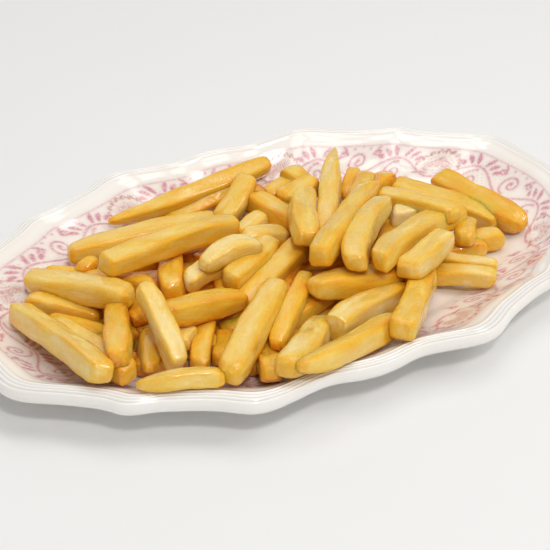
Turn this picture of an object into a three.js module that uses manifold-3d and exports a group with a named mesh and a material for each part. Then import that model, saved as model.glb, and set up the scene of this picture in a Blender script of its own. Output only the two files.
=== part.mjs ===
// A portion of french fries heaped on an oval earthenware platter with a lobed, moulded rim.
// Millimetres, +Z up. X runs along the platter and Y across it, away from the diner.
// The origin is under the middle of the platter's foot, on the table.
import * as THREE from 'three';
import { mergeVertices } from 'three/addons/utils/BufferGeometryUtils.js';
import Module from 'manifold-3d';

const wasm = await Module();
wasm.setup();

const GAP = 0.3;                // clear air between one solid and the next

// ---- platter sizes ----
const LIP = { halfLength: 152, halfWidth: 93 };     // the rim's outer edge, before its lobes
const WELL = { halfLength: 113, halfWidth: 57 };    // the flat floor's edge
const RIM_RUN = 37;             // plan distance from the lip to the well's edge
const WELL_RUN = 57;            // plan distance from the well's edge to the middle
const CREST = 25;               // height of the rim's rounded top
const FLOOR = 6.4;              // height of the well's floor
const FOOT_HOLLOW = 1.6;        // the underside is this far off the table inside the foot
const AROUND = 96;              // facets round the platter

// The lip swells out in lobes and pulls in between them, alike in all four quarters.
// Each row: degrees from the platter's long axis, half spread in degrees, millimetres outwards.
const LOBES = [
  [16.5, 5.5, 6.0],
  [34.5, 3.5, 3.0],
  [59.5, 8.0, 6.2],
  [77.0, 7.0, -2.4],
];

// Section of the platter from the middle of its floor, over the crest and back under to the middle.
// Each row: plan distance in from the lip, height.
const FACE = [
  [RIM_RUN + WELL_RUN, FLOOR],
  [42, FLOOR],
  [36, FLOOR + 1],
  [32, FLOOR + 3],
  [20, FLOOR + 8.3],
  [10, CREST - 2.8],
  [7.6, CREST - 1.6],
  [5.8, CREST - 0.2],
  [3, CREST],
  [1.2, CREST - 0.8],
  [0, CREST - 3.6],
];
const UNDERSIDE = [
  [0.4, CREST - 6.4],
  [2.4, CREST - 7.6],
  [9, CREST - 8.8],
  [32, 4.4],
  [37, 0.4],
  [38, 0],
  [42, 0],
  [43.5, FOOT_HOLLOW],
  [RIM_RUN + WELL_RUN, FOOT_HOLLOW],
];

// ---- fries ----
const FRY_STATIONS = 5;         // lengths of facet along a fry
const CORNER = 0.86;            // how far a fry's long edges reach, against its flat sides
const END_ROUND = 1.4;          // how far an end's corners stand back from its middle
const LIFT_STEP = 0.2;          // step by which a fry is raised off the platter

// The low mound that the fries lie on, hidden once they cover it.
const CORE = { x: -8, y: -3, halfLength: 76, halfWidth: 38, top: 17, around: 28, rings: 4 };

// Each row is one fry: the middle of its two ends, x y z and x y z, then its width, its thickness,
// how far its middle bows to the left, its roll in degrees, and the share of width left at each end.
const FAR_SIDE = [
  [-65, 60, 19, 25, 71, 22, 10, 9.5, -2.8, 20, 0.3, 0.75],
  [-38, 57, 14, 9, 63, 17, 10.5, 10, 0, 30, 0.8, 0.8],
  [29, 62, 20, 35, 46, 20, 11, 11, 0, 0, 0.85, 0.8],
  [12, 46, 18, 29, 57, 18, 10, 9.5, 0, 0, 0.8, 0.8],
  [16, 38, 21, 38, 47, 21, 12, 11, -1, 0, 0.85, 0.7],
  [64, 53, 19, 50, 34, 15, 7.5, 7.5, 0, 0, 0.5, 0.8],
  [66, 42, 21, 45, 19, 22, 10.5, 10, 0, 0, 0.7, 0.8],
  [51, 29, 22, 79, 39, 16, 11.5, 10.5, 0, -8, 0.8, 0.8],
  [59, 65, 25, 17, -7, 26, 10.6, 11, 0, 10, 0.15, 0.8],
  [-91, 41, 20, -15, 43, 15, 12, 11.5, 1, 0, 0.7, 0.85],
  [-16, 40, 15, 8, 59, 25, 12.5, 12, -1, 0, 0.8, 0.8],
  [-85, 5, 36, -13, 25, 24, 12.3, 12, 1.8, -2, 0.85, 0.8],
];
const RIGHT_END = [
  [101, 31, 15, 116.5, -24, 17, 12.8, 12, -1, 20, 0.85, 0.6],
  [77, 35, 15, 108, -14, 14, 12.5, 12, 1, 4, 0.8, 0.8],
  [59, 19, 24, 79, -20, 31, 11.5, 11, 0, 0, 0.7, 0.7],
  [64, 4, 16, 79, 17, 16, 13.5, 12, 0, 0, 0.9, 0.8],
  [45, -15, 18, 61, 6, 16, 10, 9.5, 0, 0, 0.8, 0.8],
  [79, -29, 21, 91, -11, 18, 10.5, 10, 0, -8, 0.7, 0.8],
  [70, -18, 11, 92, -29, 13, 9.5, 9, 0, -8, 0.8, 0.8],
  [79, -16, 12, 104, -25, 13, 10.5, 9.5, 0, -4, 0.8, 0.85],
  [56, -14, 11, 86, -47, 17, 8.5, 8, 0, 0, 0.8, 0.7],
  [52, -28, 11, 80, -55, 18, 9, 8.5, 0, 0, 0.8, 0.75],
];
const MIDDLE = [
  [5, 49, 19, 17, 8, 21, 12, 12, 0, -5, 0.8, 0.8],
  [-14, 22, 19, 5, 34, 17, 9.5, 9.5, 0, 0, 0.8, 0.8],
  [-16, 13, 23, 9, 14, 18, 11, 10.5, 1, 0, 0.6, 0.6],
  [27, 34, 27, 4, -13, 34, 12.5, 11.5, -1, -15, 0.6, 0.7],
  [-45, -10, 33, -14, -4, 31, 11.5, 10.5, 4, 0, 0.5, 0.6],
  [-35, -17, 26, -2, 6, 23, 12.5, 11.5, 0, 8, 0.8, 0.5],
  [-24, 16, 18, -38, -15, 18, 9.5, 9.5, 0, 0, 0.8, 0.8],
  [-53, -9, 26, -28, -1, 25, 10, 9.5, 0, 0, 0.8, 0.8],
  [10, 2, 22, -33, -26, 18, 12, 11.5, 0, -7, 0.7, 0.8],
  [-47, 27, 17, -59, -11, 23, 11.5, 11.5, 0, 5, 0.8, 0.8],
  [24, -45, 37, 87, -10, 23, 11.5, 11, 5, -10, 0.8, 0.9],
  [36, -47, 29, 69, -30, 28, 12.5, 11.5, 0, -8, 0.85, 0.8],
  [1, -33, 38, 59, 25, 25, 13, 12.5, 1, -12, 0.85, 0.7],
  [54, 4, 31, 14, -42, 37, 12.5, 11.5, -4, 7, 0.7, 0.8],
  [5, 55, 22, 11, 45, 21, 7, 7, 0, 0, 0.7, 0.7],
];
const LEFT_END = [
  [-106, 31, 18, -65, 14, 11, 9.5, 9.5, 0, 9, 0.8, 0.8],
  [-93, 23, 17, -66, -6, 25, 9.5, 9.5, 3, -10, 0.6, 0.7],
  [-113, 31, 19, -78, -12, 28, 13, 12.5, 0, 0, 0.85, 0.8],
  [-118, 18, 19, -91, -2, 13, 10.5, 9.5, 1, -10, 0.6, 0.8],
  [-66, 9, 13, -78, -19, 20, 9.5, 9.5, 0, 10, 0.8, 0.8],
  [-112, 0, 16, -95, -56, 26, 11, 10.5, 0, -5, 0.8, 0.8],
  [-123, 12, 19, -107, -59, 32, 11.8, 11.2, 0, -22, 0.85, 0.85],
  [-83, -3, 21, -100, -54, 33, 11, 11, 1, 5, 0.5, 0.75],
  [-77, -21, 41, -76, -58, 23, 9.5, 10.5, 2.5, -10, 0.75, 0.85],
  [-76, -34, 32.6, -32, -26, 21.6, 12.2, 12, 1, -8, 0.8, 0.65],
  [-91, 25, 21, -81, 32, 20, 7.5, 7, 0, 0, 0.8, 0.8],
  [-70, -43, 21, -60, -34, 21, 8, 8, 0, 0, 0.7, 0.8],
];
const NEAR_SIDE = [
  [-71, -16, 11, -85, -48, 18, 12.8, 11, 0, -10, 0.35, 0.3],
  [-96, -65, 26.6, -62, -76, 27.1, 9, 8, 0, -25, 0.35, 0.8],
  [-47, -22, 15.7, -66, -55, 17.7, 9.7, 9.5, 0, 0, 0.7, 0.8],
  [-45, -35, 12.5, -55, -55, 17.5, 8.8, 8.5, 0, 0, 0.8, 0.7],
  [-46, -34, 14, -17, -31, 15, 9.5, 9.5, 0, 9, 0.8, 0.8],
  [-36, -58, 13, -45, -82, 28, 10, 9.5, 1, 0, 0.8, 0.7],
  [9, -31, 17, -38, -55, 14, 10, 9.5, -2, 0, 0.8, 0.6],
  [0, -22, 23, -34, -61, 22, 9.5, 9.5, 1, 0, 0.7, 0.6],
  [-16, -27, 25, -62, -78, 29, 13.5, 12.5, 0, 0, 0.85, 0.75],
  [-37, -89, 31.5, 21, -68, 19.5, 12.5, 10.5, -2, -24, 0.5, 0.8],
  [-41, -87, 31.5, -6, -51, 17, 13.5, 13, -2, -8, 0.75, 0.8],
  [-8, -65, 25, 43, -40, 14, 12.5, 14, 1, -5, 0.9, 0.5],
  [-6, -37, 27, 41, -37, 20, 12.5, 12, -1, -7, 0.6, 0.85],
  [56, -34, 13, 14, -84, 29.5, 12.5, 12, 0, 0, 0.8, 0.85],
];
// Fries deep in the heap, seen only through its gaps: they lie flat in a loose oval, at odd angles.
const BURIED = { count: 7, halfLength: 46, halfWidth: 20, z: 12, size: 10, long: [40, 54], seed: 11 };

// ---- platter ----

const fold = (angle) => Math.atan2(Math.abs(Math.sin(angle)), Math.abs(Math.cos(angle)));

function ellipseRadius(oval, angle) {
  return 1 / Math.hypot(Math.cos(angle) / oval.halfLength, Math.sin(angle) / oval.halfWidth);
}

function lipRadius(angle) {
  const degrees = THREE.MathUtils.radToDeg(fold(angle));
  const swell = LOBES.map(([at, spread, out]) => out * Math.exp(-(((degrees - at) / spread) ** 2)));
  return ellipseRadius(LIP, angle) + swell.reduce((sum, part) => sum + part, 0);
}

// Plan radius of the ring that lies this far in from the lip: the lobes die out towards the well.
function ringRadius(angle, inset) {
  const well = ellipseRadius(WELL, angle);
  if (inset <= RIM_RUN) return THREE.MathUtils.lerp(lipRadius(angle), well, inset / RIM_RUN);
  return well * (1 - (inset - RIM_RUN) / WELL_RUN);
}

// A lathe gives the closed rings; each ring then takes its own oval, lobed line.
function platterGeometry() {
  const section = [...FACE, ...UNDERSIDE].reverse();
  const last = RIM_RUN + WELL_RUN;
  const profile = section.map(([inset, height]) => new THREE.Vector2(last - inset, height));
  const geometry = new THREE.LatheGeometry(profile, AROUND);
  geometry.rotateX(Math.PI / 2);
  const position = geometry.attributes.position;
  for (let i = 0; i < position.count; i += 1) {
    const angle = Math.atan2(position.getY(i), position.getX(i));
    const inset = last - Math.hypot(position.getX(i), position.getY(i));
    const radius = Math.max(ringRadius(angle, inset), 0);
    position.setXY(i, radius * Math.cos(angle), radius * Math.sin(angle));
  }
  return geometry;
}

// ---- fries ----

// A fry is a bar of potato with soft edges, drawn in at its ends and a little bowed.
function fryGeometry([x1, y1, z1, x2, y2, z2, wide, thick, bow, roll, startTip, endTip]) {
  const start = new THREE.Vector3(x1, y1, z1);
  const end = new THREE.Vector3(x2, y2, z2);
  const along = end.clone().sub(start);
  const length = along.length();
  along.normalize();
  const across = new THREE.Vector3(-along.y, along.x, 0).normalize();
  const up = along.clone().cross(across);
  const geometry = new THREE.BoxGeometry(length, wide, thick, FRY_STATIONS, 2, 2);
  const position = geometry.attributes.position;
  for (let i = 0; i < position.count; i += 1) {
    const run = (2 * position.getX(i)) / length;
    const side = position.getY(i);
    const height = position.getZ(i);
    const tip = run < 0 ? startTip : endTip;
    const share = 1 - (1 - tip) * Math.abs(run) ** 4;
    const onEdge = side !== 0 && height !== 0;
    const inMiddle = side === 0 && height === 0;
    const reach = onEdge ? CORNER * share : share;
    const back = Math.abs(run) > 0.999 && !inMiddle ? END_ROUND * Math.sign(run) : 0;
    position.setXYZ(i, position.getX(i) - back, side * reach + bow * (1 - run * run), height * reach);
  }
  geometry.rotateX(THREE.MathUtils.degToRad(roll));
  geometry.applyMatrix4(new THREE.Matrix4().makeBasis(along, across, up));
  geometry.translate((x1 + x2) / 2, (y1 + y2) / 2, (z1 + z2) / 2);
  return geometry;
}

// A fry that would touch the platter is raised until it is just clear of it.
function clearOfPlatter(fry, platter) {
  let raised = fry;
  while (raised.minGap(platter, 1) < GAP + 0.02) {
    raised = raised.translate([0, 0, LIFT_STEP]);
  }
  return raised;
}

function seeded(seed) {
  let state = seed;
  return () => {
    state = (state * 1103515245 + 12345) % 2147483648;
    return state / 2147483648;
  };
}

function buriedFries() {
  const random = seeded(BURIED.seed);
  const rows = [];
  for (let i = 0; i < BURIED.count; i += 1) {
    const turn = i * 2.4;
    const spread = Math.sqrt((i + 0.5) / BURIED.count);
    const x = CORE.x + BURIED.halfLength * spread * Math.cos(turn);
    const y = CORE.y + BURIED.halfWidth * spread * Math.sin(turn);
    const half = THREE.MathUtils.lerp(BURIED.long[0], BURIED.long[1], random()) / 2;
    const heading = (random() - 0.5) * Math.PI * 0.7;
    const dx = half * Math.cos(heading);
    const dy = half * Math.sin(heading);
    const z = BURIED.z;
    rows.push([x - dx, y - dy, z, x + dx, y + dy, z + 2, BURIED.size, BURIED.size, 0, 0, 0.8, 0.8]);
  }
  return rows;
}

function coreGeometry() {
  const height = CORE.top - FLOOR - GAP;
  const profile = [new THREE.Vector2(0, 0)];
  for (let i = 0; i <= CORE.rings; i += 1) {
    const angle = (i / CORE.rings) * (Math.PI / 2);
    profile.push(new THREE.Vector2(Math.cos(angle), height * Math.sin(angle)));
  }
  profile[profile.length - 1].x = 0;
  const geometry = new THREE.LatheGeometry(profile, CORE.around);
  geometry.rotateX(Math.PI / 2);
  geometry.scale(CORE.halfLength, CORE.halfWidth, 1);
  geometry.translate(CORE.x, CORE.y, FLOOR + GAP);
  return geometry;
}

// ---- joining ----

function toSolid(geometry) {
  const bare = geometry.clone();
  bare.deleteAttribute('normal');
  bare.deleteAttribute('uv');
  const merged = mergeVertices(bare, 1e-4);
  return new wasm.Manifold(new wasm.Mesh({
    numProp: 3,
    vertProperties: new Float32Array(merged.attributes.position.array),
    triVerts: new Uint32Array(merged.index.array),
  }));
}

function toGeometry(solid) {
  const mesh = solid.getMesh();
  const geometry = new THREE.BufferGeometry();
  geometry.setAttribute('position', new THREE.BufferAttribute(mesh.vertProperties, 3));
  geometry.setIndex(new THREE.BufferAttribute(mesh.triVerts, 1));
  geometry.computeVertexNormals();
  return geometry;
}

// The joined heap's largest piece: its sealed hollows are filled and its loose scraps dropped.
function heapSolid(platter) {
  const rows = [...FAR_SIDE, ...RIGHT_END, ...MIDDLE, ...LEFT_END, ...NEAR_SIDE, ...buriedFries()];
  let heap = toSolid(coreGeometry());
  for (const row of rows) {
    heap = heap.add(clearOfPlatter(toSolid(fryGeometry(row)), platter));
  }
  return heap.decompose().reduce((best, piece) => (piece.volume() > best.volume() ? piece : best));
}

// ---- the object ----

function named(name, geometry, colour, roughness) {
  const material = new THREE.MeshStandardMaterial({ color: colour, roughness, metalness: 0 });
  const mesh = new THREE.Mesh(geometry, material);
  mesh.name = name;
  return mesh;
}

const platterSolid = toSolid(platterGeometry());
const group = new THREE.Group();
group.add(named('platter', toGeometry(platterSolid), 0xf1e8df, 0.15));
group.add(named('fries', toGeometry(heapSolid(platterSolid)), 0xe0ab45, 0.5));

export default group;
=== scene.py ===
import math

import bpy
import numpy as np
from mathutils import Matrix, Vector, kdtree, noise


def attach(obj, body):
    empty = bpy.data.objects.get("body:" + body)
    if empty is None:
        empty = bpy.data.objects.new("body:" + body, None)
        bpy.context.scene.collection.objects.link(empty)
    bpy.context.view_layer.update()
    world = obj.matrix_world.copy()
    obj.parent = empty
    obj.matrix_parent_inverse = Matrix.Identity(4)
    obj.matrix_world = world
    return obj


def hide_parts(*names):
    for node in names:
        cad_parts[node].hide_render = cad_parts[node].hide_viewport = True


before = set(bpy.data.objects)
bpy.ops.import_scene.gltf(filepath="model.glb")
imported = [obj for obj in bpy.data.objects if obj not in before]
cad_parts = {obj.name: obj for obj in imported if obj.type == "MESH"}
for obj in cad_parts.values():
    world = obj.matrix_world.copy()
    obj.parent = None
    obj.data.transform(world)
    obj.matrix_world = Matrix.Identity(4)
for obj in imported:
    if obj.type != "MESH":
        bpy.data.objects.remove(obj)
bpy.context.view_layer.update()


# ---- The platter ----
# A cream earthenware oval, slip cast: a flat well, a sloping rim whose lip swells out in lobes, a
# rolled band with fine ridges inside it, and a low foot. A pink transfer border lies under the glaze.

MM = 0.001
LIP_HALF = (152.0, 93.0)            # the rim's outer edge before its lobes, in millimetres
WELL_HALF = (113.0, 57.0)           # the flat floor's edge
RIM_RUN = 37.0                      # plan distance from the lip to the well's edge
WELL_RUN = 57.0                     # and from there to the middle
MIDDLE_INSET = RIM_RUN + WELL_RUN
CREST = 25.0                        # height of the rim's rounded top
WELL_FLOOR = 6.4
FOOT_HOLLOW = 1.6
# degrees from the long axis, half spread in degrees, millimetres outwards
LOBES = ((16.5, 5.5, 6.0), (34.5, 3.5, 3.0), (59.5, 8.0, 6.2), (77.0, 7.0, -2.4))
# plan distance in from the lip and height, from the middle over the crest and back underneath
FACE = (
    (MIDDLE_INSET, WELL_FLOOR), (46, WELL_FLOOR), (40, WELL_FLOOR + 0.1), (36, WELL_FLOOR + 1),
    (32, WELL_FLOOR + 3), (26, WELL_FLOOR + 5.3), (20, WELL_FLOOR + 8.3), (15, CREST - 6.7),
    (10, CREST - 2.7), (7.8, CREST - 1.6), (6.7, CREST - 0.8), (6.1, CREST - 0.15), (5.6, CREST),
    (3, CREST), (1.2, CREST - 0.6), (0, CREST - 3.4),
)
UNDERSIDE = (
    (0.2, CREST - 6.4), (2.4, CREST - 7.8), (9, CREST - 9.0), (32, 4.2), (37, 0.4), (38, 0), (42, 0),
    (43.5, FOOT_HOLLOW), (MIDDLE_INSET, FOOT_HOLLOW),
)
ROUNDING_PASSES = 3
RIDGES = (1.2, 5.7, 1.5)            # first and last inset of the fine grooves, and their pitch
GROOVE_DEPTH = 0.55
RING_POINTS = 1070
# how far apart the section's points lie: on the face beyond each inset, on the lip nearer than an inset,
# round the foot from one inset to another, and on everything else
FACE_SPACING = ((43, 9), (33, 1.8), (RIDGES[1] + 0.3, 0.7), (RIDGES[0] - 0.3, 0.36))
LIP_SPACING = (5, 1.3)
FOOT_SPACING = (30, 46, 1.6)
PLAIN_SPACING = 9


def oval_radius(half, angle):
    return 1 / np.hypot(np.cos(angle) / half[0], np.sin(angle) / half[1])


def lip_radius(angle):
    folded = np.degrees(np.arctan2(np.abs(np.sin(angle)), np.abs(np.cos(angle))))
    swell = sum(out * np.exp(-(((folded - at) / spread) ** 2)) for at, spread, out in LOBES)
    return oval_radius(LIP_HALF, angle) + swell


def ring_radius(angle, inset):
    """Plan radius of the ring this far in from the lip: the lobes die out towards the well."""
    well = oval_radius(WELL_HALF, angle)
    lip = lip_radius(angle)
    if inset <= RIM_RUN:
        return lip + (well - lip) * inset / RIM_RUN
    return well * (1 - (inset - RIM_RUN) / WELL_RUN)


def rounded(points, passes):
    """Cuts a line's corners again and again, which rounds them like a scraper's edge."""
    line = np.array(points, float)
    for _ in range(passes):
        near = line[:-1] * 0.75 + line[1:] * 0.25
        far = line[:-1] * 0.25 + line[1:] * 0.75
        middle = np.stack([near, far], 1).reshape(-1, 2)
        line = np.vstack([line[:1], middle, line[-1:]])
    return line


def spacing(inset, upper):
    for beyond, step in FACE_SPACING:
        if upper and inset > beyond:
            return step
    if inset < LIP_SPACING[0]:
        return LIP_SPACING[1]
    first, last, step = FOOT_SPACING
    return step if first <= inset <= last else PLAIN_SPACING


def groove(inset, upper):
    """How deep a place lies in a groove of the rolled band, from 0 on a ridge to 1."""
    if not upper or not RIDGES[0] < inset < RIDGES[1]:
        return 0.0
    wave = (inset - RIDGES[0]) / RIDGES[2]
    return 0.5 - 0.5 * math.cos(2 * math.pi * wave)


def platter_section():
    """The section as spaced points: close on the printed slope and the ridges, wide elsewhere."""
    line = rounded(FACE + UNDERSIDE, ROUNDING_PASSES)
    steps = np.linalg.norm(np.diff(line, axis=0), axis=1)
    travel = np.concatenate([[0], np.cumsum(steps)])
    lip_at = travel[np.argmin(line[:, 0])]
    points = []
    at = 0.0
    while at < travel[-1]:
        inset = np.interp(at, travel, line[:, 0])
        height = np.interp(at, travel, line[:, 1])
        upper = at < lip_at
        points.append((inset, height - GROOVE_DEPTH * groove(inset, upper), upper))
        at += spacing(inset, upper)
    points.append((MIDDLE_INSET, FOOT_HOLLOW, False))
    return points


def revolve_rings(section):
    """Vertices and faces of closed rings along the section, with one pole above and one below."""
    angle = np.linspace(0, 2 * math.pi, RING_POINTS, endpoint=False)
    rings = []
    for inset, height, _ in section[1:-1]:
        radius = ring_radius(angle, inset)
        flat = np.full(RING_POINTS, height)
        rings.append(np.stack([radius * np.cos(angle), radius * np.sin(angle), flat], 1))
    top = [[0, 0, section[0][1]]]
    bottom = [[0, 0, section[-1][1]]]
    points = np.vstack([top] + rings + [bottom])
    faces = []
    following = np.roll(np.arange(RING_POINTS), -1)
    for ring in range(len(rings) - 1):
        start = 1 + ring * RING_POINTS
        here = start + np.arange(RING_POINTS)
        after = start + following
        faces += np.stack([here, here + RING_POINTS, after + RING_POINTS, after], 1).tolist()
    last = 1 + (len(rings) - 1) * RING_POINTS
    faces += [(0, 1 + i, 1 + following[i]) for i in range(RING_POINTS)]
    faces += [(len(points) - 1, last + following[i], last + i) for i in range(RING_POINTS)]
    return points, faces


def make_piece(name, points, faces, material, numbers=None, vectors=None):
    """A smooth mesh piece from millimetre points, with its numbers kept on its vertices."""
    mesh = bpy.data.meshes.new(name)
    mesh.from_pydata((np.asarray(points) * MM).tolist(), [], faces)
    mesh.validate()
    mesh.shade_smooth()
    for label, values in (numbers or {}).items():
        layer = mesh.attributes.new(label, "FLOAT", "POINT")
        layer.data.foreach_set("value", np.asarray(values, np.float32))
    for label, values in (vectors or {}).items():
        layer = mesh.attributes.new(label, "FLOAT_VECTOR", "POINT")
        layer.data.foreach_set("vector", np.asarray(values, np.float32).ravel())
    piece = bpy.data.objects.new(name, mesh)
    bpy.context.scene.collection.objects.link(piece)
    piece.data.materials.append(material)
    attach(piece, "root")
    return piece


# The printed border. A place on it is how far round the rim and how far in from the lip, both in
# millimetres. A waving stem runs right round with a scroll in each bay; every fourth bay holds a
# hatched fan instead. A net of dots fills half the ground, and a fine line runs outside it all.

MID_SLOPE = 22.0
BAYS = 32
STEM_SWING = 4.4
STEM_WIDTH = 1.0
SAMPLE_PITCH = 0.5                  # between the points that stand for the stem
OUTER_LINE = {"inset": 12.2, "half": 0.8, "ink": 0.55}
PRINTED = (10.5, 38)                # the whole border's outer and inner edge, in from the lip
NET_EDGES = (13.5, 28)              # and the net's, with how far each edge takes to fade
NET_FADES = (1.5, 5)
INK_EDGE = 0.3                      # half the width over which a stroke's edge turns soft
INK_HALO = (0.3, 0.9)               # strength and reach of the faint spread of ink round a stroke
INK_REACH = 2.6                     # no stroke colours the glaze further off than this
NET_CLEAR = 0.3                     # the net keeps off the strokes by this much

SCROLL_POINTS = 36                  # in each turn of a scroll
EYE_SCROLL = {"size": 5.6, "turns": 1.45, "thick": 1.15}
CORNER_SCROLL = {"size": 2.5, "turns": 1.1, "thick": 0.95}
HEM_SCROLL = {"size": 1.5, "turns": 0.55, "thick": 0.85}
STEM_LEAVES = {"count": 3, "first": 2.0, "apart": 2.9, "length": 5.4, "thick": 2.1, "curl": 0.5}
EYE_LEAF = {"length": 3.2, "thick": 1.3}
DOT_ARC = {"count": 5, "half": (7.4, 6.9), "first": 0.5, "apart": 0.535, "size": 1.0}
HATCHING = {"count": 21, "apart": 0.115, "start": 3.4, "length": 6.9, "thick": 0.75}
HEM = {"count": 9, "apart": 0.28, "reach": 11.3}
FAN_LEAF = {"length": 8.5, "thick": 1.5, "curl": 0.5}


def travel_round():
    """Millimetres round the middle of the slope for every ring point."""
    angle = np.linspace(0, 2 * math.pi, RING_POINTS + 1)
    radius = ring_radius(angle, MID_SLOPE)
    place = np.stack([radius * np.cos(angle), radius * np.sin(angle)], 1)
    steps = np.linalg.norm(np.diff(place, axis=0), axis=1)
    return np.concatenate([[0], np.cumsum(steps)])


def scroll(centre, form, start, hand):
    """A spiral wound in to a round eye, as points with a width each."""
    turn = np.linspace(0, form["turns"] * 2 * math.pi, int(SCROLL_POINTS * form["turns"]))
    reach = form["size"] * (1 - 0.88 * (turn / turn[-1]) ** 0.8)
    x = centre[0] + reach * np.cos(start + hand * turn)
    y = centre[1] + reach * np.sin(start + hand * turn)
    width = form["thick"] * (1 - 0.3 * turn / turn[-1])
    width[-3:] = form["thick"] * 1.7
    return np.stack([x, y, width], 1)


def leaf(root, length, heading, thick, curl=0.0):
    """A pointed leaf that bends as it goes."""
    steps = 10
    run = np.linspace(0, 1, steps)
    turn = heading + curl * run
    x = root[0] + np.cumsum(np.cos(turn)) * length / steps
    y = root[1] + np.cumsum(np.sin(turn)) * length / steps
    return np.stack([x, y, thick * np.sin(math.pi * (0.15 + 0.8 * run)) ** 0.8], 1)


def out_from(root, reach, heading):
    return root[0] + reach * math.cos(heading), root[1] + reach * math.sin(heading)


def scroll_bay(middle, side, wide):
    """A scroll and an arc of dots on the open side of the stem, and leaves on the other."""
    open_side = MID_SLOPE - 2.7 * side
    strokes = [scroll((middle, open_side), EYE_SCROLL, math.pi / 2 * side, -side)]
    for hand in (-1, 1):
        corner = (middle + hand * wide * 0.44, MID_SLOPE - side * 6.6)
        strokes.append(scroll(corner, CORNER_SCROLL, -math.pi / 2 * side, -hand * side))
        for step in range(STEM_LEAVES["count"]):
            beside = hand * (STEM_LEAVES["first"] + STEM_LEAVES["apart"] * step)
            above = side * (STEM_SWING - 0.3 * step * step + 0.6)
            heading = side * (math.pi / 2 - hand * (0.35 + 0.28 * step))
            length = STEM_LEAVES["length"] - 0.8 * step
            curl = -STEM_LEAVES["curl"] * hand * side
            root = (middle + beside, MID_SLOPE + above)
            strokes.append(leaf(root, length, heading, STEM_LEAVES["thick"], curl))
        root = (middle + hand * 6.0, open_side - 3.4 * side)
        heading = -side * (math.pi / 2 - 0.9 * hand)
        strokes.append(leaf(root, EYE_LEAF["length"], heading, EYE_LEAF["thick"]))
    for step in range(DOT_ARC["count"]):
        turn = -side * (DOT_ARC["first"] + DOT_ARC["apart"] * step)
        half_wide, half_high = DOT_ARC["half"]
        dot = (middle + half_wide * math.cos(turn), open_side + half_high * math.sin(turn), DOT_ARC["size"])
        strokes.append(np.array([dot]))
    return strokes


def fan_bay(middle, side):
    """A fan of hatching spread from the stem over the open side, with a scalloped hem."""
    root = (middle, MID_SLOPE + side * 2.8)
    straight_out = -side * math.pi / 2
    strokes = []
    for hatch in range(HATCHING["count"]):
        step = hatch - HATCHING["count"] // 2
        heading = straight_out + HATCHING["apart"] * step
        length = HATCHING["length"] - 0.02 * step * step
        strokes.append(leaf(out_from(root, HATCHING["start"], heading), length, heading, HATCHING["thick"]))
    for scallop in range(HEM["count"]):
        heading = straight_out + HEM["apart"] * (scallop - HEM["count"] // 2)
        strokes.append(scroll(out_from(root, HEM["reach"], heading), HEM_SCROLL, heading - 1.6, 1))
    for hand in (-1, 1):
        foot = (root[0] + hand * 2, root[1])
        heading = -side * (math.pi / 2 - 1.3 * hand)
        curl = FAN_LEAF["curl"] * hand * side
        strokes.append(leaf(foot, FAN_LEAF["length"], heading, FAN_LEAF["thick"], curl))
    return strokes


def border_strokes(length):
    """Every stroke's points round the rim: place, width, and whether its ink is russet."""
    along = np.linspace(0, length, int(length / SAMPLE_PITCH))
    swing = STEM_SWING * np.sin(math.pi * BAYS * along / length)
    stem = np.stack([along, MID_SLOPE + swing, np.full(len(along), STEM_WIDTH)], 1)
    wide = length / BAYS
    points = [np.hstack([stem, np.zeros((len(stem), 1))])]
    for bay in range(BAYS):
        middle = (bay + 0.5) * wide
        side = 1 if bay % 2 == 0 else -1
        fan = bay % 4 == 2
        for stroke in fan_bay(middle, side) if fan else scroll_bay(middle, side, wide):
            points.append(np.hstack([stroke, np.full((len(stroke), 1), float(fan))]))
    return np.vstack(points)


def clamped(amount):
    return min(1.0, max(0.0, amount))


def paint_border(section):
    """For each vertex of the platter: its ink, how russet that is, its share of the net, its place."""
    around = travel_round()
    length = around[-1]
    samples = border_strokes(length)
    tree = kdtree.KDTree(len(samples))
    for i, (x, y, _, _) in enumerate(samples):
        tree.insert((x, y, 0), i)
    tree.balance()
    count = 2 + RING_POINTS * (len(section) - 2)
    ink, russet, net = np.zeros(count), np.zeros(count), np.zeros(count)
    place = np.zeros((count, 3))
    for ring, (inset, _, upper) in enumerate(section[1:-1]):
        start = 1 + ring * RING_POINTS
        place[start:start + RING_POINTS, 0] = around[:-1]
        place[start:start + RING_POINTS, 1] = inset
        if not upper or not PRINTED[0] < inset < PRINTED[1]:
            continue
        line = OUTER_LINE["ink"] * max(0.0, 1 - abs(inset - OUTER_LINE["inset"]) / OUTER_LINE["half"])
        outer, inner = NET_EDGES
        inside = clamped((inset - outer) / NET_FADES[0]) * clamped((inner - inset) / NET_FADES[1])
        for i in range(RING_POINTS):
            strongest, red, nearest = line, 0.0, INK_REACH
            for _, sample, apart in tree.find_range((around[i], inset, 0), INK_REACH):
                _, _, width, kind = samples[sample]
                off = apart - width / 2
                halo = INK_HALO[0] * math.exp(-max(0.0, off) / INK_HALO[1])
                amount = max(min(1.0, (INK_EDGE - off) / (2 * INK_EDGE)), halo)
                nearest = min(nearest, off)
                if amount > strongest:
                    strongest, red = amount, kind
            ink[start + i] = strongest
            russet[start + i] = red
            ground = math.sin(math.pi * BAYS / 4 * around[i] / length) ** 2
            net[start + i] = ground * inside * clamped(nearest - NET_CLEAR)
    return {"ink": ink, "russet": russet, "net": net}, place


def pooled_and_shaded_grooves(section):
    """How deep each vertex lies in the band's grooves: greyer there, partly glaze that pools and partly
    painted shade in the grooves.
    """
    rings = [np.full(RING_POINTS, groove(inset, upper) ** 2) for inset, _, upper in section[1:-1]]
    return np.concatenate([[0.0]] + rings + [[0.0]])


def new_material(name):
    material = bpy.data.materials.new(name)
    material.use_nodes = True
    return material, material.node_tree.nodes, material.node_tree.links


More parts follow.
